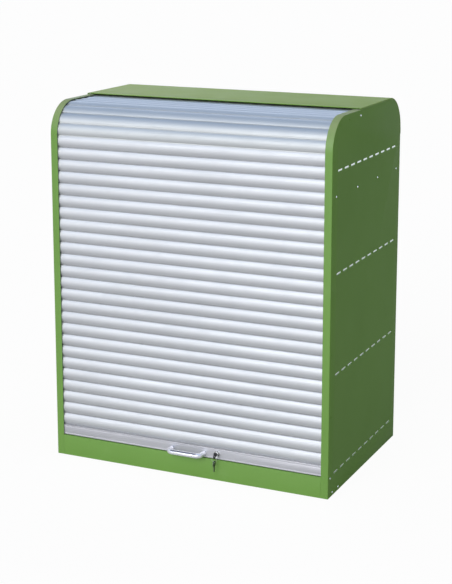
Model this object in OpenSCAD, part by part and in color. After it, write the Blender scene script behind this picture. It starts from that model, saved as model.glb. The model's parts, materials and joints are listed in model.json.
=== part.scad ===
// Sheet-steel cabinet for hazardous materials with an aluminium roller shutter.
// Millimetres. Z is up and the shutter faces -Y.
// The origin is on the floor under the middle of the side panels.

/* [Cabinet] */
// Width across the side panels
body_w = 920; // [700:10:1100]
// Depth of the side panels, front to back
body_d = 600; // [540:10:760]
// Radius of the top corners, front and rear
corner_r = 100; // [85:5:130]
// Thickness of the sheet steel
sheet = 1.5; // [1:0.1:2]
// Width of the strip along the front edge
strip_w = 23; // [18:1:30]
// Height of the plinth
plinth_h = 65; // [55:1:90]
// Distance from the front plane to the cover's front edge
cover_front = 228; // [180:2:300]
// How far the cover's top stands above the side panels
cover_rise = 4.5; // [3.5:0.5:8]
// How far the back panel stands behind the side panels
back_rise = 3; // [2.5:0.5:3]

/* [Curtain] */
// Number of slats on the flat front
slat_count = 25; // [12:1:25]
// Height that each slat takes up in the curtain
slat_pitch = 37; // [32:1:42]
// Open groove between two slats
slat_gap = 3; // [2:0.5:5]
// Rise of a slat's rounded face
slat_crown = 5; // [3:0.5:6]
// Wall of a slat
slat_t = 1; // [0.8:0.1:1.4]

/* [Track] */
// Clear width of the channel that guides the curtain
channel_w = 9; // [8.5:0.5:12]
// Wall of the track
track_t = 1.5; // [1:0.1:2]
// How far the track's lips stand out from the side panel
track_reach = 12; // [9:0.5:15]
// Width of the track's riveting flange
track_flange = 12.5; // [10:0.5:18]
// Length of the track down the back, below the bend
track_tail = 465; // [200:5:600]

/* [Bottom rail and handle] */
// Height between the plinth and the lowest slat's pitch line
rail_zone = 35; // [30:1:50]
// Wall of the hollow rail
rail_wall = 1.6; // [1.2:0.1:2.2]
// Height of the rubber seal under the rail
seal_h = 2; // [1.5:0.1:4]
// Distance between the handle's legs, centre to centre
handle_span = 108; // [80:2:150]
// Diameter of the handle's bar
handle_bar = 16; // [8:0.5:18]
// Distance from the rail's face to the middle of the bar
handle_reach = 28; // [26:1:50]
// Bend radius at the handle's corners
handle_bend = 15; // [10:1:20]
// Distance of the handle's legs below the middle of the rail
handle_drop = 5; // [0:0.5:6]
// Radius of the handle screws
handle_screw_r = 2.4; // [1.5:0.1:3]

/* [Lock] */
// Distance of the lock from the middle of the rail
lock_x = 99; // [90:1:200]
// Radius of the lock's round face
lock_face_r = 11; // [10:0.5:14]
// Thickness of the lock's round face
lock_face_t = 3.5; // [2:0.1:5]
// Radius of the lock's barrel
barrel_r = 9; // [8:0.1:9.5]
// Radius of the turning plug
plug_r = 6; // [5.5:0.1:6.5]
// Thickness of the cam
cam_t = 2; // [1.5:0.1:3]
// Width of the cam's arm
cam_w = 8; // [7.5:0.1:10]
// Length of the hook at the cam's end
hook_l = 5; // [3:0.5:8]
// Radius of a key's bow
bow_r = 9.5; // [8:0.5:12]
// Thickness of a key
key_t = 2; // [1.6:0.1:2.4]
// Height of a key's blade
blade_h = 7; // [5:0.5:8]
// Length of the spare key's blade
blade_l = 16; // [12:1:22]
// Radius of the key ring to the middle of its wire
ring_r = 8.5; // [8:0.5:12]
// Radius of the ring's wire
ring_wire_r = 0.7; // [0.5:0.1:1]

/* [Side slots and rivets] */
// Number of slot rows on each side
row_count = 4; // [2:1:6]
// Height of the lowest slot row above the plinth
row_lift = 1; // [1:0.5:10]
// Distance of the top slot row below the bend
row_drop = 53; // [40:1:120]
// Number of slots in a row
slot_count = 10; // [4:1:10]
// Length of a slot
slot_l = 40; // [20:1:42]
// Height of a slot
slot_h = 6; // [4:0.5:8]
// Distance from the track to the middle of the first slot
slot_front = 40; // [30:1:80]
// Distance from the middle of the last slot to the rear track
slot_back = 30; // [28:1:80]
// Radius of a rivet's head
rivet_head_r = 3; // [2:0.1:4]
// Radius of a rivet's shank
rivet_r = 1.6; // [1:0.1:1.8]
// Number of rivets up the front edge
rivet_count = 6; // [3:1:10]
// Distance of the stiffener below the top slot row
stiffener_drop = 73; // [50:1:120]
// Height of the stiffener bar
stiffener_h = 20; // [12:1:40]

/* [Trays and sump] */
// Thickness of the sump's sheet
sump_t = 2; // [1.5:0.1:3]
// Depth of a spill tray
tray_h = 45; // [25:1:80]
// Distance from the front plane to the trays
tray_setback = 115; // [110:1:180]
// Thickness of the tray rails
ledge_t = 1.5; // [1:0.1:2]
// Height of a tray rail's upright leg
ledge_h = 30; // [20:1:40]
// Slots across the base grid
grid_across = 10; // [4:1:14]
// Slots along the base grid
grid_along = 6; // [3:1:10]

/* [Fits] */
// Running clearance between sliding pieces
run_gap = 0.3; // [0.2:0.05:0.4]
// Clearance of pins and shanks in their holes
pin_gap = 0.05; // [0.02:0.01:0.1]

/* [Hidden] */
$fn = 64;
// Overshoot of a cutting tool
over = 1;
// Gap between pieces that pass each other without sliding
pass_gap = 2;

// Heights and depths that follow from the driving sizes
front_y = -body_d / 2;
back_y = body_d / 2;
half_w = body_w / 2;
shutter_bottom = plinth_h + rail_zone;
shutter_top = shutter_bottom + slat_count * slat_pitch;
body_h = shutter_top + corner_r;
inner_x = half_w - sheet;

// Track, measured inwards from the outline
lip_inset = sheet + track_t;
inner_lip_inset = lip_inset + channel_w;
liner_inset = inner_lip_inset + track_t;
track_inset = liner_inset + track_flange;
lip_x = inner_x - track_reach;
plinth_d = track_inset + pass_gap;
rivet_inset = liner_inset + rivet_head_r + run_gap;

// Curtain
curtain_inset = lip_inset + run_gap;
slat_end = lip_x - run_gap;
shoe_end = inner_x - track_t - run_gap;
slat_h = slat_pitch - slat_gap;
slat_r = (slat_h * slat_h / 4 + slat_crown * slat_crown) / (2 * slat_crown);
slat_inner_r = slat_r - slat_t;
slat_depth = slat_r - sqrt(slat_inner_r * slat_inner_r - slat_h * slat_h / 4);
slat_root_r = corner_r - curtain_inset - slat_depth;
bend_count = floor(90 / (2 * atan((slat_h / 2 + run_gap) / slat_root_r)));
bend_step = 90 / bend_count;
top_count = ceil((cover_front - corner_r) / slat_pitch) + 1;

// Bottom rail
rail_z0 = plinth_h + seal_h;
rail_z1 = shutter_bottom - slat_gap / 2;
rail_d = channel_w - 2 * run_gap;
rail_y0 = front_y + curtain_inset;
rail_y1 = rail_y0 + rail_d;
lock_z = (rail_z0 + rail_z1) / 2;
handle_z = lock_z - handle_drop;

// Handle screws sit inside the hollow rail and reach into the legs
screw_head_t = rail_d - 2 * rail_wall - 2 * run_gap;
screw_head_r = 1.6 * handle_screw_r;
screw_reach = 5 * handle_screw_r;
screw_hole_r = handle_screw_r + pin_gap;

// Lock, from its face at the front to the cam screw at the back
lock_face_y = rail_y0 - lock_face_t;
plug_proud = 0.8;
plug_front_y = lock_face_y - plug_proud;
nut_t = 1.5;
barrel_end_y = rail_y1 + nut_t;
cam_y = barrel_end_y + run_gap;
cam_end_y = cam_y + cam_t;
drive_w = plug_r;
cam_screw_r = 1.5;
cam_screw_head_r = 0.8 * plug_r;
cam_screw_head_t = 2.5;
keyway_l = 7;
blade_in = keyway_l - run_gap;
cam_screw_depth = cam_end_y - plug_front_y - keyway_l - pass_gap;

// The cam's hook turns in under the strike plate below the plinth's top
strike_t = 1.5;
strike_l = 28;
hook_gap = 0.5;
hook_t = 4;
cam_hub = 2;
strike_drop = lock_z - (plinth_h - sheet - strike_t);
hook_r0 = strike_drop + hook_gap;
hook_r1 = hook_r0 + hook_t;
flange_drop = lock_z - plinth_h;
hook_tip = cam_w / 2 + hook_l;
hook_sweep_r = sqrt(hook_r1 * hook_r1 + hook_tip * hook_tip);
cam_slot_left = cam_w / 2 + pass_gap / 2;
cam_slot_right = sqrt(hook_sweep_r * hook_sweep_r - flange_drop * flange_drop) + pass_gap;
cam_slot_y0 = cam_y - pass_gap;
cam_slot_y1 = cam_end_y + cam_screw_head_t + pass_gap / 2;

// Keys and ring: the ring hangs in the bow's hole, and the spare key hangs on the ring
key_shoulder = 3;
bow_y = plug_front_y - key_shoulder - sqrt(bow_r * bow_r - blade_h * blade_h / 4);
key_hole_r = 2.6;
key_hole_rim = 3;
key_hole_off = bow_r - key_hole_r - key_hole_rim;
ring_y = bow_y - key_hole_off;
ring_gap = 0.2;
ring_sag = key_hole_r - ring_wire_r - ring_gap;
ring_z = lock_z - ring_sag - ring_r;
spare_hole_z = ring_z - ring_r - ring_sag;
spare_bow_z = spare_hole_z - key_hole_off;

// Rows of slots and rivets on the sides
row_first = plinth_h + row_lift;
row_last = shutter_top - row_drop;
function row_z(i) = row_first + i * (row_last - row_first) / (row_count - 1);
slot_first_y = front_y + track_inset + slot_front;
slot_last_y = back_y - track_inset - slot_back;
function slot_y(i) = slot_first_y + i * (slot_last_y - slot_first_y) / (slot_count - 1);
rivet_dip = 6;
rivet_drop = 22;
rivet_low = plinth_h - rivet_dip;
rivet_high = shutter_top - rivet_drop;
stiffener_z = row_last - stiffener_drop;
ledge_end = track_inset + pass_gap;
stiffener_rivets = 4;
stiffener_rivet_end = 6;
stiffener_rivet_inset = ledge_end + stiffener_rivet_end;
sump_rivet_z = 10;
sump_rivet_first = 8;
sump_rivet_pitch = 48;
bend_rivet_angle = 63;
top_rivet_pitch = 94;
rivet_tail = 0.3;
rivet_length = sheet + max(track_t, sump_t) + rivet_tail;
rivet_head_t = 1.2;

// Side rivets as [y, z]: front edge, bend, top edge, stiffener row and sump
side_rivet_places = concat(
    [for (i = [0 : rivet_count - 1])
        [front_y + rivet_inset, rivet_low + i * (rivet_high - rivet_low) / (rivet_count - 1)]],
    [[front_y + corner_r - (corner_r - rivet_inset) * cos(bend_rivet_angle),
      shutter_top + (corner_r - rivet_inset) * sin(bend_rivet_angle)]],
    [for (i = [1 : 2]) [cover_front + front_y - (i - 1) * top_rivet_pitch, body_h - rivet_inset]],
    [for (i = [0 : stiffener_rivets - 1])
        [front_y + stiffener_rivet_inset
            + i * (body_d - 2 * stiffener_rivet_inset) / (stiffener_rivets - 1), stiffener_z]],
    [for (i = [0 : 1]) [front_y + plinth_d + sump_rivet_first + i * sump_rivet_pitch, sump_rivet_z]]);

// Base, trays and their rails
sump_drop = 5;
sump_h = plinth_h - sump_drop;
ledge_drop = slot_h / 2 + 1;
ledge_top = ledge_t - ledge_drop;
tray_end = inner_x - ledge_t - run_gap;
tray_rear = track_inset + 2 * pass_gap;
tray_wall_x = lip_x - pass_gap / 2;
grid_rear = liner_inset + sheet + 2 * pass_gap;
grid_slot_w = 12;
grid_bar = 14;
back_drop = 5;
back_top = shutter_top - back_drop;
cover_lap = 20;
screw_rows = 4;
back_screw_end = 40;
back_screw_head_r = 4.5;
back_screw_r = 2;
back_screw_x = half_w - strip_w / 2;

green = [0.36, 0.56, 0.22];
dark_green = [0.27, 0.44, 0.18];
silver = [0.80, 0.82, 0.85];
zinc = [0.72, 0.74, 0.74];
bright = [0.88, 0.89, 0.91];
black = [0.08, 0.08, 0.08];

function slat_name(i) = str("slat_", i < 9 ? "0" : "", i + 1);

// Extrudes an outline drawn in the Y-Z plane from x0 to x1
module along_x(x0, x1) {
    translate([x0, 0, 0]) rotate([90, 0, 90]) linear_extrude(x1 - x0) children();
}

// A round hole or pin along -Y, from y0 forwards by length
module along_y(x, y, z, r, length) {
    translate([x, y, z]) rotate([90, 0, 0]) cylinder(r = r, h = length);
}

module box_between(low, high) {
    translate(low) cube(high - low);
}

// The right-hand piece as drawn, or its mirror image on the left
module on_side(right) {
    if (right) children();
    else mirror([1, 0, 0]) children();
}

// Outline of a side panel, drawn in by inset, down to the height low
module arch(inset, low) {
    translate([front_y + inset, low]) square([body_d - 2 * inset, shutter_top - low]);
    translate([front_y + corner_r, low]) square([body_d - 2 * corner_r, body_h - inset - low]);
    for (y = [front_y + corner_r, back_y - corner_r])
        translate([y, shutter_top]) circle(r = corner_r - inset);
}

// Strip that follows the outline between two insets
module band(outer, inner) {
    difference() {
        arch(outer, 0);
        arch(inner, -over);
    }
}

module slot_outline() {
    square([slot_l - slot_h, slot_h], center = true);
    for (s = [-1, 1]) translate([s * (slot_l - slot_h) / 2, 0]) circle(d = slot_h);
}

module rivet_holes() {
    for (p = side_rivet_places) translate(p) circle(r = rivet_r + pin_gap);
}

module side_panel(right) {
    color(dark_green) on_side(right) along_x(inner_x, half_w) difference() {
        arch(0, 0);
        for (i = [0 : row_count - 1], j = [0 : slot_count - 1])
            translate([slot_y(j), row_z(i)]) slot_outline();
        rivet_holes();
    }
}

module edge_strip(right) {
    color(green) on_side(right) difference() {
        along_x(half_w - strip_w, inner_x) band(0, sheet);
        back_screw_holes();
    }
}

// The part of the outline that the track follows: front, top and upper back
module track_zone() {
    translate([front_y, 0]) square([body_d / 2, body_h]);
    translate([0, shutter_top - track_tail]) square([body_d / 2, corner_r + track_tail]);
}

module track(right) {
    color(silver) on_side(right) {
        along_x(inner_x - track_t, inner_x) difference() {
            intersection() {
                band(sheet, track_inset);
                track_zone();
            }
            rivet_holes();
        }
        along_x(lip_x, inner_x - track_t) intersection() {
            union() {
                band(sheet, lip_inset);
                band(inner_lip_inset, liner_inset);
            }
            track_zone();
        }
    }
}

// Cover over the top and the rear bend, with folded side edges that rest on the side panels
module cover_zone() {
    translate([front_y + cover_front, shutter_top - cover_lap])
        square([body_d - cover_front + cover_rise, body_h]);
}

module top_cover() {
    color(green) {
        along_x(-half_w, half_w) intersection() {
            band(-cover_rise, sheet - cover_rise);
            cover_zone();
        }
        for (right = [false, true]) on_side(right) along_x(inner_x, half_w) intersection() {
            band(sheet - cover_rise, 0);
            cover_zone();
            translate([front_y, shutter_top]) square([body_d + cover_rise, body_h]);
        }
    }
}

back_screw_low = sump_h + back_screw_end;
back_screw_high = shutter_top - cover_lap - back_screw_end;
function back_screw_z(i) = back_screw_low + i * (back_screw_high - back_screw_low) / (screw_rows - 1);

module back_screw_holes() {
    for (i = [0 : screw_rows - 1])
        along_y(back_screw_x, back_y + back_rise + over, back_screw_z(i), back_screw_r + pin_gap,
            back_rise + sheet + 2 * over);
}

module back_panel() {
    color(dark_green) difference() {
        union() {
            box_between([-half_w, back_y + back_rise - sheet, 0], [half_w, back_y + back_rise, back_top]);
            for (right = [false, true]) on_side(right)
                box_between([half_w - strip_w, back_y, 0], [half_w, back_y + back_rise - sheet, back_top]);
        }
        for (right = [false, true]) on_side(right) back_screw_holes();
    }
}

module back_screws() {
    head_t = cover_rise - back_rise;
    color(zinc) for (right = [false, true]) on_side(right) for (i = [0 : screw_rows - 1]) {
        along_y(back_screw_x, back_y + back_rise + head_t, back_screw_z(i), back_screw_head_r, head_t);
        along_y(back_screw_x, back_y + back_rise, back_screw_z(i), back_screw_r, back_rise + sheet);
    }
}

module inner_back() {
    end_x = inner_x - max(track_t, sump_t) - run_gap;
    color(zinc) box_between(
        [-end_x, back_y - liner_inset - sheet, sump_t], [end_x, back_y - liner_inset, back_top]);
}

// Sump: a pan folded from one sheet, between two end plates that are riveted to the side panels
module base_sump() {
    front = front_y + plinth_d;
    rear = back_y - sheet;
    plate_x = inner_x - sump_t;
    pan_x = plate_x - pin_gap;
    color(green) {
        difference() {
            box_between([-pan_x, front, 0], [pan_x, rear, sump_h]);
            box_between([-half_w, front + sump_t, sump_t], [half_w, rear - sump_t, sump_h + over]);
        }
        for (right = [false, true]) on_side(right) along_x(plate_x, inner_x) difference() {
            translate([front, 0]) square([rear - front, sump_h]);
            rivet_holes();
        }
    }
}

// Slot in the plinth's top that lets the cam's hook turn in
module cam_slot(z0, z1) {
    box_between([lock_x - cam_slot_left, cam_slot_y0, z0], [lock_x + cam_slot_right, cam_slot_y1, z1]);
}

module plinth_front() {
    end_x = half_w - strip_w - run_gap;
    rear = front_y + plinth_d;
    color(green) difference() {
        box_between([-end_x, front_y, 0], [end_x, rear, plinth_h]);
        box_between([-half_w, front_y + sheet, -over], [half_w, rear - sheet, plinth_h - sheet]);
        cam_slot(plinth_h - sheet - over, plinth_h + over);
    }
}

module strike_plate() {
    right_x = lock_x - cam_slot_left;
    color(zinc) box_between([right_x - strike_l, cam_slot_y0, plinth_h - sheet - strike_t],
        [right_x, cam_slot_y1, plinth_h - sheet]);
}

// Angle rails behind the slot rows; the trays hang on their lower legs
module tray_rails(right) {
    y0 = front_y + ledge_end;
    y1 = back_y - ledge_end;
    color(zinc) on_side(right) for (i = [0 : row_count - 1]) {
        low = row_z(i) - ledge_drop;
        box_between([inner_x - ledge_t, y0, low], [inner_x, y1, low + ledge_h]);
        box_between([lip_x, y0, low], [inner_x - ledge_t, y1, low + ledge_t]);
    }
}

module side_stiffeners() {
    color(zinc) for (right = [false, true]) on_side(right) along_x(inner_x - ledge_t, inner_x) difference() {
        translate([front_y + ledge_end, stiffener_z - stiffener_h / 2])
            square([body_d - 2 * ledge_end, stiffener_h]);
        rivet_holes();
    }
}

module base_grid() {
    z = row_z(0) + ledge_top;
    y0 = front_y + plinth_d + run_gap;
    y1 = back_y - grid_rear;
    step_x = 2 * (tray_wall_x - grid_bar) / grid_across;
    step_y = (y1 - y0 - grid_bar) / grid_along;
    first_x = grid_bar - tray_wall_x + step_x / 2;
    first_y = y0 + (grid_bar + step_y) / 2;
    color(zinc) difference() {
        box_between([-tray_end, y0, z], [tray_end, y1, z + sheet]);
        for (i = [0 : grid_across - 1], j = [0 : grid_along - 1])
            translate([first_x + i * step_x, first_y + j * step_y, z])
                cube([step_x - grid_bar, grid_slot_w, 4 * sheet], center = true);
    }
}

// Spill tray: a pan that hangs by its side flanges
module spill_tray(row) {
    z = row_z(row) + ledge_top;
    y0 = front_y + tray_setback;
    y1 = back_y - tray_rear;
    color(zinc) {
        difference() {
            box_between([-tray_wall_x, y0, z - tray_h], [tray_wall_x, y1, z + sheet]);
            box_between([sheet - tray_wall_x, y0 + sheet, z - tray_h + sheet],
                [tray_wall_x - sheet, y1 - sheet, z + sheet + over]);
        }
        for (right = [false, true]) on_side(right)
            box_between([tray_wall_x, y0, z], [tray_end, y1, z + sheet]);
    }
}

module side_rivets() {
    color(zinc) for (right = [false, true]) on_side(right) for (p = side_rivet_places)
        translate([half_w - rivet_length, p[0], p[1]]) rotate([0, 90, 0]) {
            cylinder(r = rivet_r, h = rivet_length);
            translate([0, 0, rivet_length]) rotate_extrude() intersection() {
                scale_r = (rivet_head_r * rivet_head_r + rivet_head_t * rivet_head_t) / (2 * rivet_head_t);
                translate([0, rivet_head_t - scale_r]) circle(r = scale_r);
                square([rivet_head_r, rivet_head_t]);
            }
        }
}

// Section of a slat, with its rounded face towards the left of the drawing
module slat_section() {
    translate([slat_r, 0]) intersection() {
        difference() {
            circle(r = slat_r);
            circle(r = slat_inner_r);
        }
        translate([-slat_r - over, -slat_h / 2]) square([slat_r, slat_h]);
    }
}

// Slats that stay in the bend, each turned to face outwards
module bend_slats() {
    color(silver) along_x(-shoe_end, shoe_end) for (i = [0 : bend_count - 1])
        translate([front_y + corner_r, shutter_top]) rotate(-(i + 0.5) * bend_step)
            translate([curtain_inset - corner_r, 0]) slat_section();
}

module top_slats() {
    color(silver) along_x(-shoe_end, shoe_end) for (i = [0 : top_count - 1])
        translate([front_y + corner_r + (i + 0.5) * slat_pitch, body_h - curtain_inset])
            rotate(-90) slat_section();
}

module front_slat(i) {
    color(silver) along_x(-slat_end, slat_end)
        translate([front_y + curtain_inset, shutter_bottom + (i + 0.5) * slat_pitch]) slat_section();
}

module bottom_rail() {
    color(silver) difference() {
        box_between([-slat_end, rail_y0, rail_z0], [slat_end, rail_y1, rail_z1]);
        box_between([-slat_end - over, rail_y0 + rail_wall, rail_z0 + rail_wall],
            [slat_end + over, rail_y1 - rail_wall, rail_z1 - rail_wall]);
        along_y(lock_x, rail_y1 + over, lock_z, barrel_r + pin_gap, rail_d + 2 * over);
        for (x = [-handle_span / 2, handle_span / 2]) {
            along_y(x, rail_y0 + rail_wall + over, handle_z, screw_hole_r, rail_wall + 2 * over);
            along_y(x, rail_y1 + over, handle_z, screw_head_r + run_gap, rail_wall + 2 * over);
        }
    }
}

module rail_seal() {
    color(black) box_between([-half_w + strip_w + run_gap, rail_y0 + rail_wall, plinth_h + run_gap],
        [half_w - strip_w - run_gap, rail_y1 - rail_wall, rail_z0]);
}

module rail_shoes() {
    color(black) for (right = [false, true]) on_side(right)
        box_between([slat_end, rail_y0, rail_z0], [shoe_end, rail_y1, rail_z1]);
}

// Quarter bend of the handle's bar, from the leg's direction into the bar's
module handle_corner() {
    rotate_extrude(angle = 90) translate([handle_bend, 0]) circle(d = handle_bar);
}

module handle() {
    leg_x = handle_span / 2;
    bar_y = rail_y0 - handle_reach;
    leg_l = handle_reach - handle_bend;
    color(bright) difference() {
        union() {
            for (s = [-1, 1]) along_y(s * leg_x, rail_y0, handle_z, handle_bar / 2, leg_l);
            for (right = [false, true]) on_side(right)
                translate([leg_x - handle_bend, bar_y + handle_bend, handle_z])
                    rotate([0, 0, -90]) handle_corner();
            translate([handle_bend - leg_x, bar_y, handle_z]) rotate([0, 90, 0])
                cylinder(d = handle_bar, h = handle_span - 2 * handle_bend);
        }
        for (s = [-1, 1])
            along_y(s * leg_x, rail_y0 + over, handle_z, screw_hole_r, screw_reach + over + run_gap);
    }
}

module handle_screws() {
    color(zinc) for (s = [-1, 1]) {
        x = s * handle_span / 2;
        along_y(x, rail_y0 + rail_wall, handle_z, handle_screw_r, rail_wall + screw_reach);
        along_y(x, rail_y0 + rail_wall + screw_head_t, handle_z, screw_head_r, screw_head_t);
    }
}

module lock_housing() {
    color(bright) difference() {
        union() {
            along_y(lock_x, rail_y0, lock_z, lock_face_r, lock_face_t);
            along_y(lock_x, barrel_end_y, lock_z, barrel_r, barrel_end_y - rail_y0);
        }
        along_y(lock_x, barrel_end_y + over, lock_z, plug_r + pin_gap, barrel_end_y - lock_face_y + 2 * over);
    }
}

module lock_nut() {
    color(zinc) difference() {
        translate([lock_x, barrel_end_y, lock_z]) rotate([90, 0, 0])
            cylinder(r = lock_face_r + 1, h = nut_t, $fn = 6);
        along_y(lock_x, barrel_end_y + over, lock_z, barrel_r + pin_gap, nut_t + 2 * over);
    }
}

module lock_plug() {
    keyway_w = key_t + 2 * run_gap;
    keyway_h = blade_h + 2 * run_gap;
    color(bright) difference() {
        union() {
            along_y(lock_x, cam_y, lock_z, plug_r, cam_y - plug_front_y);
            box_between([lock_x - drive_w / 2, cam_y - over, lock_z - drive_w / 2],
                [lock_x + drive_w / 2, cam_end_y, lock_z + drive_w / 2]);
        }
        box_between([lock_x - keyway_w / 2, plug_front_y - over, lock_z - keyway_h / 2],
            [lock_x + keyway_w / 2, plug_front_y + keyway_l, lock_z + keyway_h / 2]);
        along_y(lock_x, cam_end_y + over, lock_z, cam_screw_r + pin_gap, cam_screw_depth + over + run_gap);
    }
}

// The cam lies level, to the right, while the lock is open
module lock_cam() {
    drive_hole = drive_w / 2 + pin_gap;
    tip_x = lock_x + hook_r1;
    color(zinc) difference() {
        union() {
            box_between([lock_x, cam_y, lock_z - cam_w / 2], [tip_x, cam_end_y, lock_z + cam_w / 2]);
            along_y(lock_x, cam_end_y, lock_z, cam_w / 2 + cam_hub, cam_t);
            box_between([lock_x + hook_r0, cam_y, lock_z - hook_tip], [tip_x, cam_end_y, lock_z]);
        }
        box_between([lock_x - drive_hole, cam_y - over, lock_z - drive_hole],
            [lock_x + drive_hole, cam_end_y + over, lock_z + drive_hole]);
    }
}

module cam_screw() {
    color(zinc) {
        along_y(lock_x, cam_end_y + cam_screw_head_t, lock_z, cam_screw_head_r, cam_screw_head_t);
        along_y(lock_x, cam_end_y, lock_z, cam_screw_r, cam_screw_depth);
    }
}

// A key drawn with its bow at the origin, its blade along +Y of the drawing and its ring hole behind the bow
module key_outline(length) {
    difference() {
        union() {
            circle(r = bow_r);
            translate([-blade_h / 2, 0]) square([blade_h, length]);
        }
        translate([0, -key_hole_off]) circle(r = key_hole_r);
    }
}

module key() {
    color(bright) along_x(lock_x - key_t / 2, lock_x + key_t / 2)
        translate([bow_y, lock_z]) rotate(-90) key_outline(plug_front_y + blade_in - bow_y);
}

module key_ring() {
    color(zinc) translate([lock_x, ring_y, ring_z]) rotate([90, 0, 0]) rotate_extrude()
        translate([ring_r, 0]) circle(r = ring_wire_r, $fn = 24);
}

module spare_key() {
    color(bright) along_x(lock_x - key_t / 2, lock_x + key_t / 2)
        translate([ring_y, spare_bow_z]) rotate(180) key_outline(bow_r + blade_l);
}

side_panel(false);  // left_side_panel
side_panel(true);  // right_side_panel
edge_strip(false);  // left_edge_strip
edge_strip(true);  // right_edge_strip
track(false);  // left_track
track(true);  // right_track
top_cover();
back_panel();
back_screws();
inner_back();
base_sump();
plinth_front();
strike_plate();
tray_rails(false);  // left_tray_rails
tray_rails(true);  // right_tray_rails
side_stiffeners();
base_grid();
spill_tray(1);  // lower_tray
spill_tray(2);  // upper_tray
side_rivets();
bend_slats();
top_slats();
bottom_rail();
rail_seal();
rail_shoes();
handle();
handle_screws();
lock_housing();
lock_nut();
lock_plug();
lock_cam();
cam_screw();
key();
key_ring();
spare_key();
for (i = [0 : slat_count - 1])
    front_slat(i);
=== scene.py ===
import json
import math
import bpy
from mathutils import Matrix, Vector

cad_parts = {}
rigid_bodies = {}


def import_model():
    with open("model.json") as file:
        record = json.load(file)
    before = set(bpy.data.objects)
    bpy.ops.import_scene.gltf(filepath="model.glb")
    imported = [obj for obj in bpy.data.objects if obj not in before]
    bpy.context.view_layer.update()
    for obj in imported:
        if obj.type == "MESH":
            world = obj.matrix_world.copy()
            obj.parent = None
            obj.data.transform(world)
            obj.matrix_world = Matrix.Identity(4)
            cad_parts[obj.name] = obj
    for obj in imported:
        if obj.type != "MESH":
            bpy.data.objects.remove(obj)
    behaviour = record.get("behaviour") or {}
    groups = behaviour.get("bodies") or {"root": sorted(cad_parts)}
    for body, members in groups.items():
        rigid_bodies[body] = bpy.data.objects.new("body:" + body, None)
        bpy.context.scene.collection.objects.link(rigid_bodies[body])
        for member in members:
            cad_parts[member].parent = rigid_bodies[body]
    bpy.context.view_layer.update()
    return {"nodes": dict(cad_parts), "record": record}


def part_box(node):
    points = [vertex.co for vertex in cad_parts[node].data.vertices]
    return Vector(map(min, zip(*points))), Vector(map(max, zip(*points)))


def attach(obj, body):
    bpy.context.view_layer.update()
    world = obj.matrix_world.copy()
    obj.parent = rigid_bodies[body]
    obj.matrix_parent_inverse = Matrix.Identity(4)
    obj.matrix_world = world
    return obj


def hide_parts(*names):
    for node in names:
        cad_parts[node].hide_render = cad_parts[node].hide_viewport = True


for spare in list(bpy.data.objects):
    bpy.data.objects.remove(spare)
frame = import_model()
nodes = frame["nodes"]
print("frame loaded:", len(nodes), "solids")

mm = 0.001
quarterTurn = math.pi / 2
slack = 1e-5     # places nearer than this count as one
doubles = 1e-6   # points nearer than this are merged
along = 0.9      # a face looks along an axis when its normal has this share of it
sharpFrom = 60   # degrees from which an edge counts as a fold
roundEnd = 0.98  # share of half a slot's width that its ends are rounded by
turns = {"X": (0, quarterTurn, 0), "Y": (quarterTurn, 0, 0), "Z": (0, 0, 0)}
curtain = {"start": 100 * mm, "pitch": 37 * mm}  # lowest joint between slats, and their pitch


# Small tools for modelling by hand

def freshStart():
    if bpy.context.object and bpy.context.object.mode != "OBJECT":
        bpy.ops.object.mode_set(mode="OBJECT")
    bpy.ops.object.select_all(action="DESELECT")


def only(piece):
    freshStart()
    piece.select_set(True)
    bpy.context.view_layer.objects.active = piece


def applyPlace(piece):
    only(piece)
    bpy.ops.object.transform_apply(location=True, rotation=True, scale=True)
    return piece


def middleOf(low, high):
    return [(a + b) / 2 for a, b in zip(low, high)]


def addBlock(low, high):
    freshStart()
    bpy.ops.mesh.primitive_cube_add(size=1, location=middleOf(low, high))
    piece = bpy.context.object
    piece.scale = [b - a for a, b in zip(low, high)]
    return applyPlace(piece)


# A flat rectangle: low and high agree on the axis that it faces
def addSheet(low, high):
    freshStart()
    size = [b - a for a, b in zip(low, high)]
    flat = size.index(min(size))
    bpy.ops.mesh.primitive_plane_add(size=1, location=middleOf(low, high), rotation=turns["XYZ"[flat]])
    piece = bpy.context.object
    piece.scale = [(size[2], size[1], 1), (size[0], size[2], 1), (size[0], size[1], 1)][flat]
    return applyPlace(piece)


# A round bar whose axis is X, Y or Z
def addRound(middle, radius, length, axis, sides=32):
    freshStart()
    bpy.ops.mesh.primitive_cylinder_add(vertices=sides, radius=radius, depth=length, location=middle,
                                        rotation=turns[axis])
    return applyPlace(bpy.context.object)


def near(a, b, reach=slack):
    return abs(a - b) < reach


# A test for edges that lie on the planes given by name
def lies(**planes):
    return lambda a, b: all(near(getattr(p, axis), place) for p in (a, b) for axis, place in planes.items())


# Selects faces (centre, normal), edges (end, end) or points (place) and stays in edit mode
def choose(piece, kind, test):
    only(piece)
    bpy.ops.object.mode_set(mode="EDIT")
    bpy.ops.mesh.select_mode(type=kind)
    bpy.ops.mesh.select_all(action="DESELECT")
    bpy.ops.object.mode_set(mode="OBJECT")
    mesh = piece.data
    if kind == "FACE":
        for face in mesh.polygons:
            face.select = test(face.center, face.normal)
    elif kind == "EDGE":
        for edge in mesh.edges:
            start, end = (mesh.vertices[i].co for i in edge.vertices)
            edge.select = test(start, end)
    else:
        for point in mesh.vertices:
            point.select = test(point.co)
    bpy.ops.object.mode_set(mode="EDIT")


def chooseAll(piece):
    choose(piece, "FACE", lambda c, n: True)


def pull(*move):
    bpy.ops.mesh.extrude_region_move(TRANSFORM_OT_translate={"value": move})


def roundEdges(width, segments=3, affect="EDGES"):
    bpy.ops.mesh.bevel(offset=width, segments=segments, profile=0.5, affect=affect)


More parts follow.
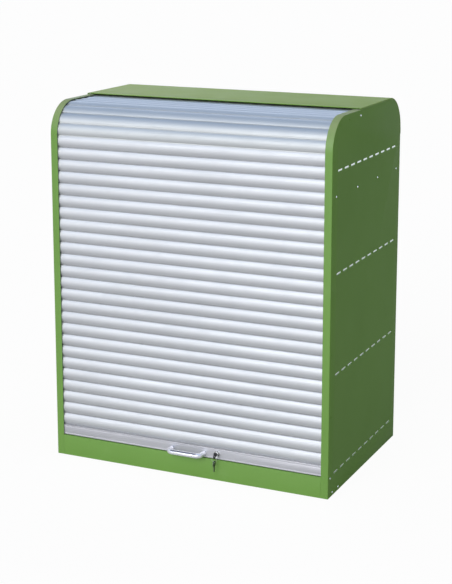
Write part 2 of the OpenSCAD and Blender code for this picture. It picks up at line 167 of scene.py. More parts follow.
# Rounds every fold of a sheet
def roundFolds(piece, width):
    choose(piece, "EDGE", lambda a, b: False)
    bpy.ops.mesh.edges_select_sharp(sharpness=math.radians(sharpFrom))
    roundEdges(width)


def removeFaces():
    bpy.ops.mesh.delete(type="FACE")


# Cuts a loop of edges round a piece at a height
def ringCut(piece, z):
    chooseAll(piece)
    bpy.ops.mesh.bisect(plane_co=(0, 0, z), plane_no=(0, 0, 1))


def modify(piece, kind, **settings):
    only(piece)
    step = piece.modifiers.new(kind.title(), kind)
    for key, value in settings.items():
        setattr(step, key, value)
    bpy.ops.object.modifier_apply(modifier=step.name)
    return piece


# Merges doubles and turns the faces of a sheet away from a point on its inner side
def weld(piece, inner):
    chooseAll(piece)
    bpy.ops.mesh.remove_doubles(threshold=doubles)
    bpy.ops.mesh.normals_make_consistent(inside=False)
    bpy.ops.object.mode_set(mode="OBJECT")
    inner = Vector(inner)
    lean = sum(f.area * f.normal.dot((f.center - inner).normalized()) for f in piece.data.polygons)
    if lean < 0:
        bpy.ops.object.mode_set(mode="EDIT")
        bpy.ops.mesh.flip_normals()
        bpy.ops.object.mode_set(mode="OBJECT")


def thicken(piece, wall):
    return modify(piece, "SOLIDIFY", thickness=wall, offset=-1, use_even_offset=True)


def softEdges(piece, width, segments=2, angle=40):
    modify(piece, "BEVEL", width=width, segments=segments, limit_method="ANGLE",
           angle_limit=math.radians(angle), harden_normals=False)


def cut(piece, tool, operation="DIFFERENCE"):
    modify(piece, "BOOLEAN", object=tool, operation=operation, solver="EXACT")
    bpy.data.objects.remove(tool)


# A bar that cuts a slot: its edges along one axis (0, 1 or 2) are rounded until its ends are round
def slotBar(middle, reach, axis, width, segments):
    bar = addBlock(middle - reach, middle + reach)
    across = [i for i in range(3) if i != axis]
    choose(bar, "EDGE", lambda a, b: all(near(a[i], b[i]) for i in across))
    roundEdges(width / 2 * roundEnd, segments)
    return bar


# Repeats a piece in a row, and the row in rows
def repeat(piece, *steps):
    for count, move in steps:
        modify(piece, "ARRAY", count=count, use_relative_offset=False, use_constant_offset=True,
               constant_offset_displace=move)
    return piece


def join(parts):
    freshStart()
    for part in parts:
        part.select_set(True)
    bpy.context.view_layer.objects.active = parts[0]
    bpy.ops.object.join()
    return bpy.context.object


def moveTo(piece, place):
    piece.matrix_world = place @ piece.matrix_world
    return applyPlace(piece)


# A copy with its own mesh, moved by a matrix
def copyTo(piece, place):
    only(piece)
    bpy.ops.object.duplicate(linked=False)
    return moveTo(bpy.context.object, place)


def dress(piece, name, body, slot, finish, *replaced, angle=30):
    only(piece)
    bpy.ops.object.shade_smooth_by_angle(angle=math.radians(angle))
    piece.name = name
    piece.data.name = name
    piece.data.materials.clear()
    piece.data.materials.append(finish)
    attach(piece, body)
    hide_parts(*replaced)


# Shader maths as plain expressions

def feed(tree, socket, value):
    if isinstance(value, Wire):
        tree.links.new(value.socket, socket)
    elif socket.type == "RGBA":
        socket.default_value = (*value, 1)
    else:
        socket.default_value = value


class Wire:
    def __init__(self, tree, socket):
        self.tree = tree
        self.socket = socket

    def math(self, operation, *values):
        node = self.tree.nodes.new("ShaderNodeMath")
        node.operation = operation
        for socket, value in zip(node.inputs, values):
            feed(self.tree, socket, value)
        return Wire(self.tree, node.outputs[0])

    def __add__(self, other):
        return self.math("ADD", self, other)

    def __radd__(self, other):
        return self.math("ADD", other, self)

    def __sub__(self, other):
        return self.math("SUBTRACT", self, other)

    def __rsub__(self, other):
        return self.math("SUBTRACT", other, self)

    def __mul__(self, other):
        return self.math("MULTIPLY", self, other)

    def __rmul__(self, other):
        return self.math("MULTIPLY", other, self)

    def __abs__(self):
        return self.math("ABSOLUTE", self)


class Nodes:
    def __init__(self, tree):
        self.tree = tree

    # Any node: its settings first, then the values or links of its sockets
    def node(self, kind, settings=None, sockets=None, out=0):
        node = self.tree.nodes.new(kind)
        for key, value in (settings or {}).items():
            setattr(node, key, value)
        for key, value in (sockets or {}).items():
            feed(self.tree, node.inputs[key], value)
        return Wire(self.tree, node.outputs[out])

    def place(self, stretch=(1, 1, 1)):
        spot = self.node("ShaderNodeTexCoord", out="Object")
        return self.node("ShaderNodeMapping", None, {"Vector": spot, "Scale": stretch})

    # One axis of the piece's own coordinates, or of another vector
    def axis(self, name, spot=None):
        return self.node("ShaderNodeSeparateXYZ", None, {"Vector": spot or self.place()}, out=name)

    def noise(self, scale, stretch=(1, 1, 1), detail=3):
        spot = self.place(stretch)
        return self.node("ShaderNodeTexNoise", None, {"Vector": spot, "Scale": scale, "Detail": detail})

    def range(self, value, low, high, toLow=0.0, toHigh=1.0):
        return self.node("ShaderNodeMapRange", {"clamp": True}, {
            "Value": value, "From Min": low, "From Max": high, "To Min": toLow, "To Max": toHigh})

    def blend(self, factor, first, second):
        return self.node("ShaderNodeMix", {"data_type": "RGBA"}, {0: factor, 6: first, 7: second}, out=2)

    def bump(self, height, depth):
        return self.node("ShaderNodeBump", None, {"Height": height, "Distance": depth, "Strength": 1.0})

    # Camera, glossy and transmission rays
    def rays(self):
        kinds = ("Camera", "Glossy", "Transmission")
        return [self.node("ShaderNodeLightPath", out=f"Is {kind} Ray") for kind in kinds]


class Finish(Nodes):
    def __init__(self, name):
        self.material = bpy.data.materials.new(name)
        self.material.use_nodes = True
        super().__init__(self.material.node_tree)
        self.shader = self.tree.nodes["Principled BSDF"]

    def end(self, **values):
        for key, value in values.items():
            feed(self.tree, self.shader.inputs[key.replace("_", " ")], value)
        return self.material


def tint(colour, share):
    return tuple(min(1.0, c * share) for c in colour)


# Powder coat: orange peel, a slow drift of colour, a few dusty patches and a haze at low angles
coat = {"green": (0.150, 0.314, 0.054), "deep": (0.138, 0.296, 0.047), "dustAndSheen": (0.185, 0.345, 0.085),
        "driftScale": 2.6, "driftSpan": (0.35, 0.65), "patchScale": 9, "patchSpan": (0.62, 0.85),
        "patchShare": 0.5, "glossSpan": (0.3, 0.75), "smoother": 0.05, "rougher": 0.08, "peelScale": 420,
        "peelDepth": 0.06 * mm, "peelGloss": 0.05, "hazeSpread": 0.5, "hazeTint": (1.0, 0.94, 0.66)}

# The sides' folded edges are glossier than their flats, and where they turn upwards their colour is painted
# paler, a painted sheen
foldCoat = {"inset": 0.2 * mm, "fade": 0.5 * mm, "gloss": 0.45, "paintedSheenLow": 1035 * mm, "paintedSheenHigh": 1100 * mm,
            "dustAndSheen": (0.28, 0.38, 0.18), "hazeTint": (0.98, 1.0, 0.90)}


def powderCoat(name, share=1.0, shine=0.3, gloss=0.42, haze=0.0, hazeTint=coat["hazeTint"], foldX=None):
    finish = Finish(name)
    drift = finish.noise(coat["driftScale"], detail=2)
    patch = finish.noise(coat["patchScale"], detail=5)
    peel = finish.noise(coat["peelScale"], detail=1)
    green, deep, dustAndSheen = (tint(coat[key], share) for key in ("green", "deep", "dustAndSheen"))
    base = finish.blend(finish.range(drift, *coat["driftSpan"]), green, deep)
    colour = finish.blend(finish.range(patch, *coat["patchSpan"], 0, coat["patchShare"]), base, dustAndSheen)
    rough = finish.range(patch, *coat["glossSpan"], gloss - coat["smoother"], gloss + coat["rougher"])
    if foldX:
        edge = finish.range(abs(finish.axis("X")), foldX - foldCoat["fade"], foldX, 1, 0)
        # Painted sheen: the folded edges turn paler towards the top of the arch
        dustyAndSheen = finish.range(finish.axis("Z"), foldCoat["paintedSheenLow"], foldCoat["paintedSheenHigh"])
        colour = finish.blend(edge * dustyAndSheen, colour, foldCoat["dustAndSheen"])
        finish.end(Coat_Weight=edge * (1 - dustyAndSheen), Coat_Roughness=foldCoat["gloss"])
    return finish.end(Base_Color=colour, Roughness=rough + coat["peelGloss"] * peel, Specular_IOR_Level=shine,
                      Sheen_Weight=haze, Sheen_Roughness=coat["hazeSpread"], Sheen_Tint=hazeTint,
                      Normal=finish.bump(peel, coat["peelDepth"]))


# Drawn aluminium: fine lines along X, slow drift and light finger smears
drawn = {"lineScale": 4, "lineStretch": (1.5, 260, 260), "lineDepth": 0.02 * mm, "lineSpan": (0.3, 0.75),
         "lineShare": 0.5, "lineTint": 0.94, "glossSpan": (0.25, 0.75), "glossSwing": 0.06, "driftScale": 3.2,
         "driftStretch": (1, 2.5, 2.5), "driftSpan": (0.3, 0.7), "smearScale": 14, "smearSpan": (0.5, 0.8),
         "smearGloss": 0.06, "coatGloss": 0.2}

# Painted shade in the joints between the front slats: the colour darkens towards each joint
paintedJointShade = {"span": (0.42, 0.5), "share": 0.6, "colour": (0.30, 0.30, 0.31)}


def drawnAluminium(name, light, dark, gloss, metal, anodised=0.0, jointShade=None):
    finish = Finish(name)
    lines = finish.noise(drawn["lineScale"], drawn["lineStretch"], detail=2)
    drift = finish.noise(drawn["driftScale"], drawn["driftStretch"])
    smear = finish.noise(drawn["smearScale"], detail=4)
    base = finish.blend(finish.range(drift, *drawn["driftSpan"]), light, dark)
    streak = finish.range(lines, *drawn["lineSpan"], 0, drawn["lineShare"])
    colour = finish.blend(streak, base, tint(dark, drawn["lineTint"]))
    swing = drawn["glossSwing"]
    rough = finish.range(lines, *drawn["glossSpan"], gloss - swing, gloss + swing)
    # Painted shade: the colour darkens towards each joint between the slats
    if jointShade:
        steps = (finish.axis("Z") - curtain["start"]) * (1 / curtain["pitch"])
        phase = finish.node("ShaderNodeMath", {"operation": "FRACT"}, {0: steps})
        joint = finish.range(abs(phase - 0.5), *jointShade["span"], 0, jointShade["share"])
        colour = finish.blend(joint, colour, jointShade["colour"])
    smeared = finish.range(smear, *drawn["smearSpan"], 0, drawn["smearGloss"])
    return finish.end(Base_Color=colour, Roughness=rough + smeared, Metallic=metal,
                      Coat_Weight=anodised, Coat_Roughness=drawn["coatGloss"],
                      Normal=finish.bump(lines, drawn["lineDepth"]))


# Galvanised sheet: spangle cells of slightly different grey
spangle = {"cellScale": 90, "cellGloss": 0.14, "cellDepth": 0.02 * mm, "cloudScale": 7,
           "cloudSpan": (0.3, 0.7), "cloudLow": 0.6, "cloudGloss": 0.06}


def galvanised(name, pale, dark, gloss, metal):
    finish = Finish(name)
    spot = finish.place()
    cells = finish.node("ShaderNodeTexVoronoi", {"feature": "F1"},
                        {"Vector": spot, "Scale": spangle["cellScale"], "Randomness": 1.0}, out="Color")
    shade = finish.node("ShaderNodeRGBToBW", None, {"Color": cells})
    cloud = finish.noise(spangle["cloudScale"], detail=4)
    worn = shade * finish.range(cloud, *spangle["cloudSpan"], spangle["cloudLow"])
    return finish.end(Base_Color=finish.blend(worn, pale, dark), Metallic=metal,
                      Roughness=gloss + spangle["cellGloss"] * shade + spangle["cloudGloss"] * cloud,
                      Normal=finish.bump(shade, spangle["cellDepth"]))


# Small bright metal parts: a base grey, faint polishing lines and a little tarnish
polish = {"cloudScale": 55, "cloudSpan": (0.35, 0.75), "grainScale": 180, "grainStretch": (1, 1, 8),
          "grainSpan": (0.3, 0.7), "grainDepth": 0.01 * mm, "smoother": 0.04, "rougher": 0.05,
          "tarnishSpan": (0.5, 0.8), "tarnishGloss": 0.08}


# A band is a painted dark reflection: a dark line at one height, between two ends
def plated(name, light, dark, gloss, metal=1.0, band=None):
    finish = Finish(name)
    cloud = finish.noise(polish["cloudScale"], detail=4)
    grain = finish.noise(polish["grainScale"], polish["grainStretch"])
    colour = finish.blend(finish.range(cloud, *polish["cloudSpan"]), light, dark)
    rough = finish.range(grain, *polish["grainSpan"], gloss - polish["smoother"], gloss + polish["rougher"])
    if band:
        rise = abs(finish.axis("Z") - band["height"])
        line = finish.range(rise, band["half"], band["half"] + band["fade"], 1, 0)
        ends = finish.range(abs(finish.axis("X")), band["reach"], band["reach"] + band["taper"], 1, 0)
        colour = finish.blend(line * ends, colour, band["colour"])
    tarnish = finish.range(cloud, *polish["tarnishSpan"], 0, polish["tarnishGloss"])
    return finish.end(Base_Color=colour, Roughness=rough + tarnish, Metallic=metal,
                      Normal=finish.bump(grain, polish["grainDepth"]))


# Rubber and nylon: near black, dusty and finely grained
moulded = {"dustScale": 40, "dustSpan": (0.4, 0.75), "grainScale": 900, "grainGloss": 0.12,
           "grainDepth": 0.04 * mm}


def mouldedBlack(name, dark, dustyAndSheen, gloss):
    finish = Finish(name)
    dustAndSheen = finish.noise(moulded["dustScale"], detail=5)
    grain = finish.noise(moulded["grainScale"], detail=2)
    return finish.end(Base_Color=finish.blend(finish.range(dustAndSheen, *moulded["dustSpan"]), dark, dustyAndSheen),
                      Roughness=gloss + moulded["grainGloss"] * grain,
                      Normal=finish.bump(grain, moulded["grainDepth"]))


paintSide = powderCoat("paintSide", shine=0.005, haze=0.15, hazeTint=foldCoat["hazeTint"],
                       foldX=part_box("right_side_panel")[1].x - foldCoat["inset"])
paintFront = powderCoat("paintFront", shine=0.5)
# The top cover takes a lighter copy of the green: painted light on the top
paintCoverLightened = powderCoat("paintCoverLightened", share=1.15, shine=0.005, gloss=0.40, haze=0.28)
paintBack = powderCoat("paintBack", shine=0.05)
paintSump = powderCoat("paintSump", share=0.96)
slatMetal = drawnAluminium("slatMetal", (0.648, 0.656, 0.662), (0.602, 0.61, 0.616), gloss=0.62, metal=0.75,
                           anodised=0.4, jointShade=paintedJointShade)
# The bend and top slats take a darker copy of the slat aluminium, without the joint shade: painted shade
bendMetalShaded = drawnAluminium("bendMetalShaded", (0.575, 0.590, 0.585), (0.535, 0.55, 0.545), gloss=0.62, metal=0.75,
                           anodised=0.4)
railMetal = drawnAluminium("railMetal", (0.63, 0.625, 0.66), (0.575, 0.575, 0.61), gloss=0.40, metal=0.6)
trackMetal = drawnAluminium("trackMetal", (0.56, 0.57, 0.59), (0.48, 0.49, 0.51), gloss=0.42, metal=0.85)
sheetZinc = galvanised("sheetZinc", (0.62, 0.64, 0.64), (0.43, 0.45, 0.46), gloss=0.38, metal=0.75)
# The tray rails take a paler, greenish copy of the galvanised sheet: a painted highlight that makes the side
# slots read bright
railZincLightened = galvanised("railZincLightened", (0.92, 0.96, 0.88), (0.84, 0.88, 0.80), gloss=0.12, metal=1.0)
rivetBright = plated("rivetBright", (0.92, 0.92, 0.90), (0.80, 0.80, 0.78), gloss=0.22)
fastenerZinc = plated("fastenerZinc", (0.66, 0.67, 0.68), (0.50, 0.51, 0.52), gloss=0.34)
# Painted dark reflection along the top of the handle's bar
paintedDarkReflection = {"height": 83.7 * mm, "half": 1.0 * mm, "fade": 0.8 * mm, "reach": 41 * mm, "taper": 4 * mm,
            "colour": (0.12, 0.11, 0.14)}
handleChrome = plated("handleChrome", (0.90, 0.90, 0.93), (0.82, 0.82, 0.86), gloss=0.28, metal=0.6,
                      band=paintedDarkReflection)
lockNickel = plated("lockNickel", (0.80, 0.80, 0.80), (0.68, 0.67, 0.65), gloss=0.20)
keySteel = plated("keySteel", (0.70, 0.70, 0.68), (0.56, 0.55, 0.52), gloss=0.28)
keyBlack = plated("keyBlack", (0.055, 0.055, 0.06), (0.10, 0.10, 0.10), gloss=0.36)
# The spare key takes a lighter, greenish copy of the black key finish: a painted reflection of the green
# plinth
keyPaintedReflection = plated("keyPaintedReflection", (0.13, 0.14, 0.12), (0.18, 0.19, 0.16), gloss=0.36)
sealRubber = mouldedBlack("sealRubber", (0.020, 0.020, 0.021), (0.045, 0.045, 0.044), gloss=0.66)
shoeNylon = mouldedBlack("shoeNylon", (0.028, 0.028, 0.029), (0.05, 0.05, 0.05), gloss=0.45)
print("finishes mixed")


# Side shells: the panel, with the strip folded in all along its arch and ten slots in each row
side = {"cornerRadius": 100 * mm, "cornerSegments": 24, "sheet": 1.5 * mm, "fold": 1.6 * mm,
        "rows": 4, "rowLow": 66 * mm, "rowHigh": 972 * mm, "slots": 10, "slotFront": -234 * mm,
        "slotBack": 244 * mm, "slotLength": 40 * mm, "slotHeight": 6 * mm, "slotSegments": 5,
        "cutReach": 5 * mm}


def sideSlots(x):
    start = Vector((x, side["slotFront"], side["rowLow"]))
    reach = Vector((side["cutReach"], side["slotLength"] / 2, side["slotHeight"] / 2))
    step = (side["slotBack"] - side["slotFront"]) / (side["slots"] - 1)
    rise = (side["rowHigh"] - side["rowLow"]) / (side["rows"] - 1)
    bar = slotBar(start, reach, 0, side["slotHeight"], side["slotSegments"])
    return repeat(bar, (side["slots"], (0, step, 0)), (side["rows"], (0, 0, rise)))


def offFloor(a, b):
    return a.z + b.z > slack


def sideShell(label, sign):
    low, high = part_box(label + "_side_panel")
    stripLow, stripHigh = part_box(label + "_edge_strip")
    outer = high.x if sign > 0 else low.x
    fold = stripLow.x if sign > 0 else stripHigh.x
    shell = addSheet((outer, low.y, low.z), (outer, high.y, high.z))
    choose(shell, "VERT", lambda p: near(p.z, high.z))
    roundEdges(side["cornerRadius"], side["cornerSegments"], affect="VERTICES")
    choose(shell, "EDGE", offFloor)
    pull(fold - outer, 0, 0)
    choose(shell, "EDGE", lambda a, b: lies(x=outer)(a, b) and offFloor(a, b))
    roundEdges(side["fold"])
    weld(shell, (0, 0, high.z / 2))
    thicken(shell, side["sheet"])
    cut(shell, sideSlots(outer))
    dress(shell, label + "Shell", "cabinet", "side_paint", paintSide,
          label + "_side_panel", label + "_edge_strip")


sideShell("left", -1)
sideShell("right", 1)
print("side shells folded and slotted")


# Top cover: flat sheet with the rear bend and a folded edge down each side
cover = {"rise": 4.5 * mm, "bendSegments": 24, "sheet": 1.5 * mm, "fold": 1.4 * mm, "seam": 0.25 * mm}


def topCover():
    low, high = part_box("top_cover")
    bend = side["cornerRadius"] + cover["rise"]
    turnZ = high.z - bend
    rim = cover["rise"] - cover["seam"]
    sheet = addBlock(low, high)
    choose(sheet, "EDGE", lies(y=high.y, z=high.z))
    roundEdges(bend, cover["bendSegments"])
    choose(sheet, "FACE", lambda c, n: n.z < -along or n.y < -along)
    removeFaces()
    choose(sheet, "FACE", lambda c, n: abs(n.x) > along)
    bpy.ops.mesh.inset(thickness=rim, use_individual=True, use_even_offset=True)
    removeFaces()
    choose(sheet, "FACE", lambda c, n: abs(n.x) > along and (c.z < turnZ or c.y < low.y + rim))
    removeFaces()
    # The inset leaves mitred ends, which are squared up at the front edge
    choose(sheet, "VERT", lambda p: near(p.y, low.y + rim) and near(p.z, high.z - rim))
    bpy.ops.transform.translate(value=(0, -rim, 0))
    weld(sheet, (0, 0, turnZ))
    roundFolds(sheet, cover["fold"])
    weld(sheet, (0, 0, turnZ))
    thicken(sheet, cover["sheet"])
    dress(sheet, "topCover", "cabinet", "front_paint", paintCoverLightened, "top_cover")


topCover()


# Back panel: a shallow pan whose side flanges lie on the side panels
back = {"sheet": 1.5 * mm, "fold": 1.2 * mm}


def backPanel():
    low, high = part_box("back_panel")
    panel = addSheet((low.x, high.y, low.z), (high.x, high.y, high.z))
    choose(panel, "EDGE", lambda a, b: near(abs(a.x), high.x) and near(a.x, b.x))
    pull(0, low.y - high.y, 0)
    choose(panel, "EDGE", lambda a, b: all(near(abs(p.x), high.x) and near(p.y, high.y) for p in (a, b)))
    roundEdges(back["fold"])
    weld(panel, (0, 0, high.z / 2))
    thicken(panel, back["sheet"])
    dress(panel, "backPanel", "cabinet", "side_paint", paintBack, "back_panel")


backPanel()


# Plinth: front board, top and rear leg folded from one sheet, with the slot for the lock's cam
plinth = {"sheet": 1.5 * mm, "fold": 1.5 * mm, "slotLeft": 94 * mm, "slotRight": 126.2 * mm,
          "slotFront": -288.5 * mm, "slotBack": -281 * mm, "cutReach": 4 * mm}


def plinthFront():
    low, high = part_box("plinth_front")
    board = addSheet((low.x, low.y, low.z), (high.x, low.y, high.z))
    choose(board, "EDGE", lies(z=high.z))
    pull(0, high.y - low.y, 0)
    pull(0, 0, low.z - high.z)
    choose(board, "EDGE", lambda a, b: lies(z=high.z)(a, b) and not near(a.x, b.x))
    roundEdges(plinth["fold"])
    weld(board, (0, (low.y + high.y) / 2, 0))
    thicken(board, plinth["sheet"])
    cut(board, addBlock((plinth["slotLeft"], plinth["slotFront"], high.z - plinth["cutReach"]),
                        (plinth["slotRight"], plinth["slotBack"], high.z + plinth["cutReach"])))
    dress(board, "plinthFront", "cabinet", "front_paint", paintFront, "plinth_front")


plinthFront()
print("cover, back and plinth folded")


# Slats: a bulged face with a hook lip under its lower edge and a curl behind its upper edge
slat = {"height": 34 * mm, "crown": 5 * mm, "wall": 1 * mm, "arcSteps": 14, "lipDepth": 1.6 * mm,
        "lipDrop": 2.6 * mm, "curl": 1.6 * mm, "curlDrop": 0.1 * mm, "frontCount": 25, "bendCount": 4,
        "topCount": 5, "bendY": -200 * mm, "bendZ": 1025 * mm, "inset": 3.3 * mm}


# The slat lies with its crown on Y = 0 and its middle on Z = 0, facing -Y
def slatSheet(halfLength):
    half = slat["height"] / 2
    crown = slat["crown"]
    radius = (half ** 2 + crown ** 2) / (2 * crown)
    spread = 2 * math.asin(half / radius)
    backY = crown + slat["lipDepth"]
    face = addSheet((-halfLength, crown, -half), (halfLength, backY, -half))
    choose(face, "EDGE", lies(y=crown))
    bpy.ops.mesh.spin(steps=slat["arcSteps"], angle=spread, center=(0, radius, 0), axis=(1, 0, 0))
    choose(face, "EDGE", lambda a, b: not near(a.x, b.x) and all(near(p.z, half, 2 * slack) for p in (a, b)))
    pull(0, slat["curl"], -slat["curlDrop"])
    choose(face, "EDGE", lambda a, b: lies(y=backY)(a, b) and near(a.z, b.z))
    pull(0, 0, -slat["lipDrop"])
    weld(face, (0, radius, 0))
    return thicken(face, slat["wall"])


def frontSlats():
    master = slatSheet(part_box("slat_01")[1].x)
    for number in range(1, slat["frontCount"] + 1):
        node = f"slat_{number:02d}"
        low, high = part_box(node)
        blade = copyTo(master, Matrix.Translation((0, low.y, (low.z + high.z) / 2)))
        dress(blade, f"slat{number:02d}", node, "slat_aluminium", slatMetal, node)
    bpy.data.objects.remove(master)


# The slats in the bend and on the top turn to face outwards
def fixedSlats():
    master = slatSheet(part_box("bend_slats")[1].x)
    reach = side["cornerRadius"] - slat["inset"]
    centre = Matrix.Translation((0, slat["bendY"], slat["bendZ"]))
    bendBlades = []
    for count in range(slat["bendCount"]):
        turn = Matrix.Rotation(-quarterTurn * (count + 0.5) / slat["bendCount"], 4, "X")
        bendBlades.append(copyTo(master, centre @ turn @ Matrix.Translation((0, -reach, 0))))
    dress(join(bendBlades), "bendSlats", "cabinet", "slat_aluminium", bendMetalShaded, "bend_slats")
    topBlades = []
    for count in range(slat["topCount"]):
        spot = Matrix.Translation((0, curtain["pitch"] * (count + 0.5), reach))
        topBlades.append(copyTo(master, centre @ spot @ Matrix.Rotation(-quarterTurn, 4, "X")))
    dress(join(topBlades), "topSlats", "cabinet", "slat_aluminium", bendMetalShaded, "top_slats")
    bpy.data.objects.remove(master)


frontSlats()
fixedSlats()
print("slats rolled:", slat["frontCount"], "on the front,", slat["bendCount"] + slat["topCount"], "above")


# The lock's axis, which the rail, lock and keys share
lock = {"x": 99 * mm, "z": 82.75 * mm, "barrel": 9.05 * mm, "plug": 6 * mm, "gap": 0.1 * mm,
        "keywayWidth": 2.6 * mm, "keywayHeight": 7.6 * mm, "keywayDepth": 7 * mm, "rim": 1.4 * mm,
        "sink": 0.6 * mm, "edge": 0.5 * mm, "plugEdge": 0.4 * mm, "faceSides": 48, "boreSides": 40,
        "boreLength": 60 * mm, "cutReach": 1 * mm}


# Bottom rail: drawn hollow bar with two shallow grooves along its face
rail = {"grooves": ((71.2 * mm, 72.6 * mm), (93.0 * mm, 94.4 * mm)), "grooveDepth": 0.7 * mm,
        "edge": 0.3 * mm, "wall": 1.6 * mm, "cutReach": 5 * mm, "boreLength": 30 * mm}


def bottomRail():
    low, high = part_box("bottom_rail")
    wall = Vector((-rail["cutReach"], rail["wall"], rail["wall"]))
    bar = addBlock(low, high)
    for z in [z for groove in rail["grooves"] for z in groove]:
        ringCut(bar, z)
    choose(bar, "FACE", lambda c, n: n.y < -along and any(a < c.z < b for a, b in rail["grooves"]))
    pull(0, rail["grooveDepth"], 0)
    softEdges(bar, rail["edge"])
    cut(bar, addBlock(low + wall, high - wall))
    cut(bar, addRound((lock["x"], (low.y + high.y) / 2, lock["z"]), lock["barrel"], rail["boreLength"], "Y",
                      lock["boreSides"]))
    dress(bar, "bottomRail", "shutter_rail", "rail_aluminium", railMetal, "bottom_rail")


bottomRail()


# Rubber seal under the rail: a bar that narrows to a lip
seal = {"lip": 0.5, "edge": 0.2 * mm, "edgeAngle": 20}


def railSeal():
    low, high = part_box("rail_seal")
    strip = addBlock(low, high)
    ringCut(strip, (low.z + high.z) / 2)
    choose(strip, "VERT", lambda p: near(p.z, low.z))
    bpy.ops.transform.resize(value=(1, seal["lip"], 1), center_override=(0, (low.y + high.y) / 2, low.z))
    softEdges(strip, seal["edge"], angle=seal["edgeAngle"])
    dress(strip, "railSeal", "shutter_rail", "seal_rubber", sealRubber, "rail_seal")


# Nylon shoes that run in the tracks, with rounded leading edges and a wear groove
shoe = {"edge": 1.6 * mm, "groove": 1.0 * mm, "grooveDepth": 0.5 * mm}


def railShoes():
    low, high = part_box("rail_shoes")
    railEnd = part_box("bottom_rail")[1].x
    middle = (low.z + high.z) / 2
    shoes = []
    for sign in (-1, 1):
        left, right = sorted((sign * railEnd, sign * high.x))
        block = addBlock((left, low.y, low.z), (right, high.y, high.z))
        for z in (middle - shoe["groove"], middle + shoe["groove"]):
            ringCut(block, z)
        choose(block, "FACE", lambda c, n: n.y < -along and near(c.z, middle, shoe["groove"]))
        pull(0, shoe["grooveDepth"], 0)
        choose(block, "EDGE", lambda a, b: near(a.y, b.y) and (lies(z=low.z)(a, b) or lies(z=high.z)(a, b)))
        roundEdges(shoe["edge"], segments=4)
        shoes.append(block)
    dress(join(shoes), "railShoes", "shutter_rail", "shoe_nylon", shoeNylon, "rail_shoes")


railSeal()
railShoes()
print("bottom rail, seal and shoes made")


# Handle: one round bar, drawn out from the left foot, round two bends and back to the right foot
bow = {"bend": 15 * mm, "sides": 32, "bendSteps": 12, "footEdge": 0.6 * mm}


def barHandle():
    low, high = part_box("handle")
    radius = (high.z - low.z) / 2
    barZ = (low.z + high.z) / 2
    legX = high.x - radius
    frontY = low.y + radius
    bendX = legX - bow["bend"]
    bendY = frontY + bow["bend"]
    freshStart()
    bpy.ops.mesh.primitive_circle_add(vertices=bow["sides"], radius=radius, fill_type="NGON",
                                      location=(-legX, high.y, barZ), rotation=turns["Y"])
    bar = applyPlace(bpy.context.object)
    chooseAll(bar)
    pull(0, bendY - high.y, 0)
    bpy.ops.mesh.spin(steps=bow["bendSteps"], angle=quarterTurn, axis=(0, 0, -1),
                      center=(-bendX, bendY, barZ))
    pull(2 * bendX, 0, 0)
    bpy.ops.mesh.spin(steps=bow["bendSteps"], angle=quarterTurn, axis=(0, 0, -1),
                      center=(bendX, bendY, barZ))
    pull(0, high.y - bendY, 0)
    weld(bar, (0, frontY, barZ))
    choose(bar, "EDGE", lies(y=high.y))
    roundEdges(bow["footEdge"], segments=2)
    weld(bar, (0, (low.y + high.y) / 2, barZ))
    dress(bar, "barHandle", "shutter_rail", "handle_chrome", handleChrome, "handle", angle=50)


barHandle()


# Lock: a housing with a raised rim, and a plug with its keyway
def lockHousing():
    low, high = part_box("lock_housing")
    faceRadius = (high.x - low.x) / 2
    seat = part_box("bottom_rail")[0].y
    body = addRound((lock["x"], (low.y + seat) / 2, lock["z"]), faceRadius, seat - low.y, "Y",
                    lock["faceSides"])
    choose(body, "FACE", lambda c, n: n.y < -along)
    bpy.ops.mesh.inset(thickness=lock["rim"])
    pull(0, lock["sink"], 0)
    choose(body, "FACE", lambda c, n: n.y > along)
    bpy.ops.mesh.inset(thickness=faceRadius - lock["barrel"] + lock["gap"])
    pull(0, high.y - seat, 0)
    softEdges(body, lock["edge"], segments=3, angle=50)
    cut(body, addRound((lock["x"], (low.y + high.y) / 2, lock["z"]), lock["plug"] + lock["gap"],
                       lock["boreLength"], "Y", lock["boreSides"]))
    dress(body, "lockHousing", "shutter_rail", "lock_nickel", lockNickel, "lock_housing")


def lockPlug():
    low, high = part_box("lock_plug")
    plug = addRound((lock["x"], (low.y + high.y) / 2, lock["z"]), lock["plug"], high.y - low.y, "Y",
                    lock["boreSides"])
    softEdges(plug, lock["plugEdge"], segments=3, angle=50)
    wide = lock["keywayWidth"] / 2
    tall = lock["keywayHeight"] / 2
    cut(plug, addBlock((lock["x"] - wide, low.y - lock["cutReach"], lock["z"] - tall),
                       (lock["x"] + wide, low.y + lock["keywayDepth"], lock["z"] + tall)))
    dress(plug, "lockPlug", "key", "lock_nickel", lockNickel, "lock_plug")


lockHousing()
lockPlug()


# Keys: a round bow with a pressed field and a ring hole, and a blade with cuts along one edge
keyShape = {"bow": 9.5 * mm, "bowSides": 48, "thick": 2 * mm, "field": 1.8 * mm, "fieldSink": 0.25 * mm,
            "hole": 2.6 * mm, "holeSides": 28, "holeShift": 3.9 * mm, "holeLength": 10 * mm,
            "bladeHeight": 7 * mm, "bladeStart": 6.65 * mm, "tip": 1.5 * mm, "cuts": (0.30, 0.46, 0.62, 0.78),
            "cutDepths": (2.0 * mm, 1.2 * mm, 2.4 * mm, 1.6 * mm), "cutWidth": 1.5 * mm, "cutFlare": 2.2,
            "cutReach": 2 * mm}


# A notch for one cut in the blade, wider at its open end
def keyNotch(y, tall, depth):
    half = keyShape["cutWidth"] / 2
    notch = addBlock((-keyShape["thick"], y - half, tall - depth),
                     (keyShape["thick"], y + half, tall + keyShape["cutReach"]))
    choose(notch, "VERT", lambda p: p.z > tall)
    bpy.ops.transform.resize(value=(1, keyShape["cutFlare"], 1), center_override=(0, y, tall))
    return notch


